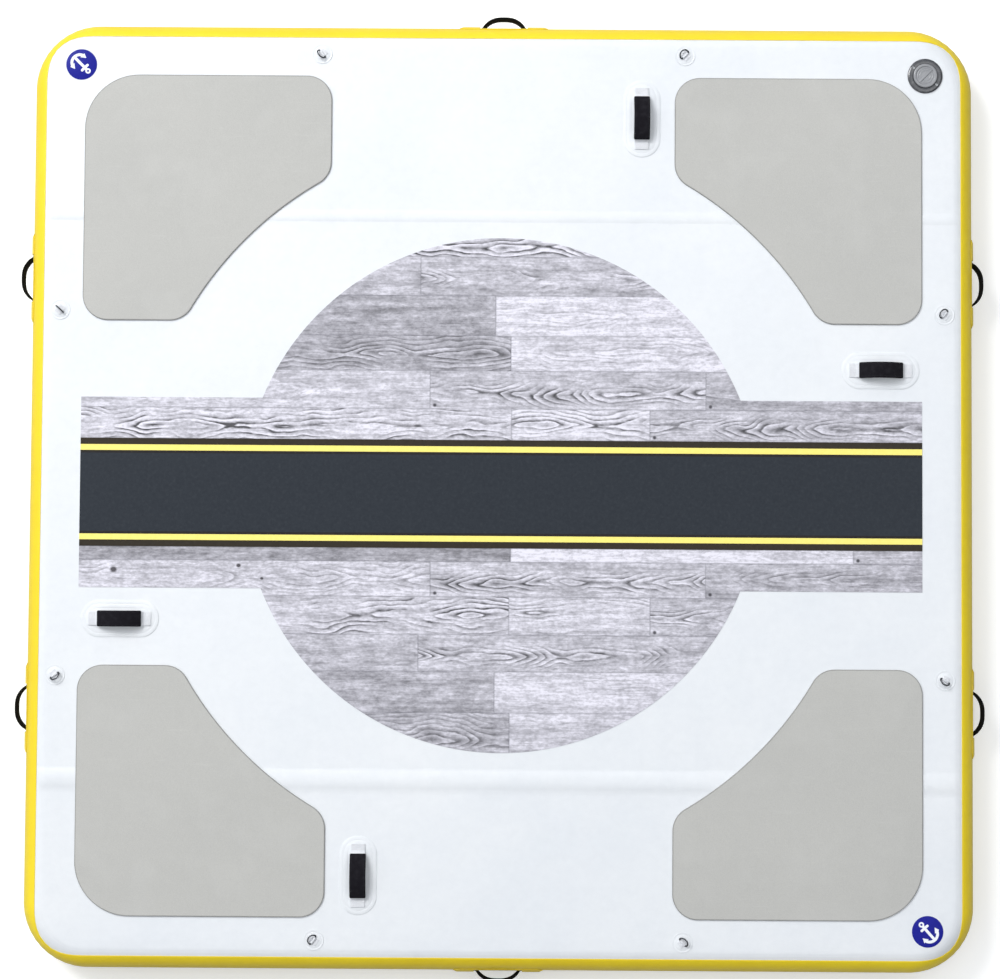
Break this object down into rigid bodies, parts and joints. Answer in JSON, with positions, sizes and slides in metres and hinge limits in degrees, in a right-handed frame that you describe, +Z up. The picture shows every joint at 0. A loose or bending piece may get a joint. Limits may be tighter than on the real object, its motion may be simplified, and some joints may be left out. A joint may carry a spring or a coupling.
{
  "type": "inflatable floating dock",
  "caption": "Square inflatable floating dock with a printed deck, foam pads, padded handles, side loops, D rings and an inflation valve.",
  "frame": {"origin": "under the middle of the dock, on the surface that its underside rests on", "axes": "+Z up through the deck, +X along the dark centre band towards the side that the valve is on, +Y towards the edge that the valve is on"},
  "size_m": [2.5092, 2.5092, 0.1838],
  "materials": {
    "white_pvc": "satin coated fabric",
    "yellow_pvc": "satin coated fabric",
    "grey_foam": "matt textured foam",
    "wood_print": "matt wood plank print",
    "charcoal_print": "satin print",
    "blue_badge": "satin print",
    "black_neoprene": "matt, fabric faced",
    "white_webbing": "woven webbing",
    "black_webbing": "woven webbing",
    "steel": "polished stainless steel",
    "grey_plastic": "satin moulded",
    "rubber": "matt",
    "polyester_yarn": "woven and stitched yarn"
  },
  "bodies": {
    "dock": {"top_skin": "white_pvc", "bottom_skin": "white_pvc", "side_band": "yellow_pvc", "drop_stitch_core": "polyester_yarn", "wood_print_sheet": "wood_print", "centre_band_sheet": "charcoal_print", "anchor_badge_rear_left": "blue_badge", "anchor_badge_front_right": "blue_badge", "traction_pad_rear_left": "grey_foam", "traction_pad_rear_right": "grey_foam", "traction_pad_front_left": "grey_foam", "traction_pad_front_right": "grey_foam", "handle_patch_rear": "white_pvc", "handle_patch_right": "white_pvc", "handle_patch_left": "white_pvc", "handle_patch_front": "white_pvc", "handle_strap_rear": "white_webbing", "handle_strap_right": "white_webbing", "handle_strap_left": "white_webbing", "handle_strap_front": "white_webbing", "side_loop_patch_left_rear": "yellow_pvc", "side_loop_patch_left_front": "yellow_pvc", "side_loop_patch_right_rear": "yellow_pvc", "side_loop_patch_right_front": "yellow_pvc", "side_loop_patch_rear": "yellow_pvc", "side_loop_patch_front": "yellow_pvc", "side_loop_left_rear": "black_webbing", "side_loop_left_front": "black_webbing", "side_loop_right_rear": "black_webbing", "side_loop_right_front": "black_webbing", "side_loop_rear": "black_webbing", "side_loop_front": "black_webbing", "d_ring_mount_rear_left": "white_webbing", "d_ring_mount_rear_right": "white_webbing", "d_ring_mount_left_rear": "white_webbing", "d_ring_mount_right_rear": "white_webbing", "d_ring_mount_left_front": "white_webbing", "d_ring_mount_right_front": "white_webbing", "d_ring_mount_front_left": "white_webbing", "d_ring_mount_front_right": "white_webbing", "valve_body": "grey_plastic", "valve_gasket": "rubber", "valve_nut": "grey_plastic", "valve_spring": "steel"},
    "handle_grip_rear": {"handle_grip_rear": "black_neoprene"},
    "handle_grip_right": {"handle_grip_right": "black_neoprene"},
    "handle_grip_left": {"handle_grip_left": "black_neoprene"},
    "handle_grip_front": {"handle_grip_front": "black_neoprene"},
    "d_ring_rear_left": {"d_ring_rear_left": "steel"},
    "d_ring_rear_right": {"d_ring_rear_right": "steel"},
    "d_ring_left_rear": {"d_ring_left_rear": "steel"},
    "d_ring_right_rear": {"d_ring_right_rear": "steel"},
    "d_ring_left_front": {"d_ring_left_front": "steel"},
    "d_ring_right_front": {"d_ring_right_front": "steel"},
    "d_ring_front_left": {"d_ring_front_left": "steel"},
    "d_ring_front_right": {"d_ring_front_right": "steel"},
    "valve_cap_seal": {"valve_cap_seal": "rubber"},
    "valve_cap": {"valve_cap": "grey_plastic"},
    "valve_diaphragm": {"valve_diaphragm": "rubber"},
    "valve_stem": {"valve_stem": "grey_plastic"}
  },
  "joints": [
    {"name": "handle_grip_rear_lift", "type": "slide", "parent": "dock", "child": "handle_grip_rear", "axis": [0, 0, 1], "range_m": [0, 0.008], "deforming": ["handle_strap_rear"]},
    {"name": "handle_grip_right_lift", "type": "slide", "parent": "dock", "child": "handle_grip_right", "axis": [0, 0, 1], "range_m": [0, 0.008], "deforming": ["handle_strap_right"]},
    {"name": "handle_grip_left_lift", "type": "slide", "parent": "dock", "child": "handle_grip_left", "axis": [0, 0, 1], "range_m": [0, 0.008], "deforming": ["handle_strap_left"]},
    {"name": "handle_grip_front_lift", "type": "slide", "parent": "dock", "child": "handle_grip_front", "axis": [0, 0, 1], "range_m": [0, 0.008], "deforming": ["handle_strap_front"]},
    {"name": "d_ring_rear_left_swing", "type": "hinge", "parent": "dock", "child": "d_ring_rear_left", "pos_m": [-0.47, 1.14, 0.1554], "axis": [-0.6561, 0.7547, 0], "range_deg": [-44, 124]},
    {"name": "d_ring_rear_right_swing", "type": "hinge", "parent": "dock", "child": "d_ring_rear_right", "pos_m": [0.47, 1.14, 0.1554], "axis": [0.7071, 0.7071, 0], "range_deg": [-22, 146]},
    {"name": "d_ring_left_rear_swing", "type": "hinge", "parent": "dock", "child": "d_ring_left_rear", "pos_m": [-1.14, 0.47, 0.1554], "axis": [0.7431, -0.6691, 0], "range_deg": [-80, 88]},
    {"name": "d_ring_right_rear_swing", "type": "hinge", "parent": "dock", "child": "d_ring_right_rear", "pos_m": [1.14, 0.47, 0.1554], "axis": [0.6691, 0.7431, 0], "range_deg": [-29, 139]},
    {"name": "d_ring_left_front_swing", "type": "hinge", "parent": "dock", "child": "d_ring_left_front", "pos_m": [-1.14, -0.47, 0.1554], "axis": [-0.8191, -0.5736, 0], "range_deg": [-42, 126]},
    {"name": "d_ring_right_front_swing", "type": "hinge", "parent": "dock", "child": "d_ring_right_front", "pos_m": [1.14, -0.47, 0.1554], "axis": [-0.848, 0.5299, 0], "range_deg": [-42, 126]},
    {"name": "d_ring_front_left_swing", "type": "hinge", "parent": "dock", "child": "d_ring_front_left", "pos_m": [-0.47, -1.14, 0.1554], "axis": [0.5736, 0.8191, 0], "range_deg": [-24, 144]},
    {"name": "d_ring_front_right_swing", "type": "hinge", "parent": "dock", "child": "d_ring_front_right", "pos_m": [0.47, -1.14, 0.1554], "axis": [0.6691, -0.7431, 0], "range_deg": [-39, 129]},
    {"name": "valve_cap_lift", "type": "slide", "parent": "dock", "child": "valve_cap_seal", "axis": [0, 0, 1], "range_m": [0, 0.03]},
    {"name": "valve_cap_twist", "type": "hinge", "parent": "valve_cap_seal", "child": "valve_cap", "pos_m": [1.091, 1.091, 0.157], "axis": [0, 0, 1], "range_deg": [0, 90]},
    {"name": "valve_push", "type": "slide", "parent": "dock", "child": "valve_diaphragm", "axis": [0, 0, 1], "range_m": [-0.006, 0], "stiffness_N_per_m": 300, "springref_m": 0.01, "deforming": ["valve_spring"]},
    {"name": "valve_stem_turn", "type": "hinge", "parent": "valve_diaphragm", "child": "valve_stem", "pos_m": [1.091, 1.091, 0.145], "axis": [0, 0, 1], "range_deg": [-90, 0]}
  ]
}
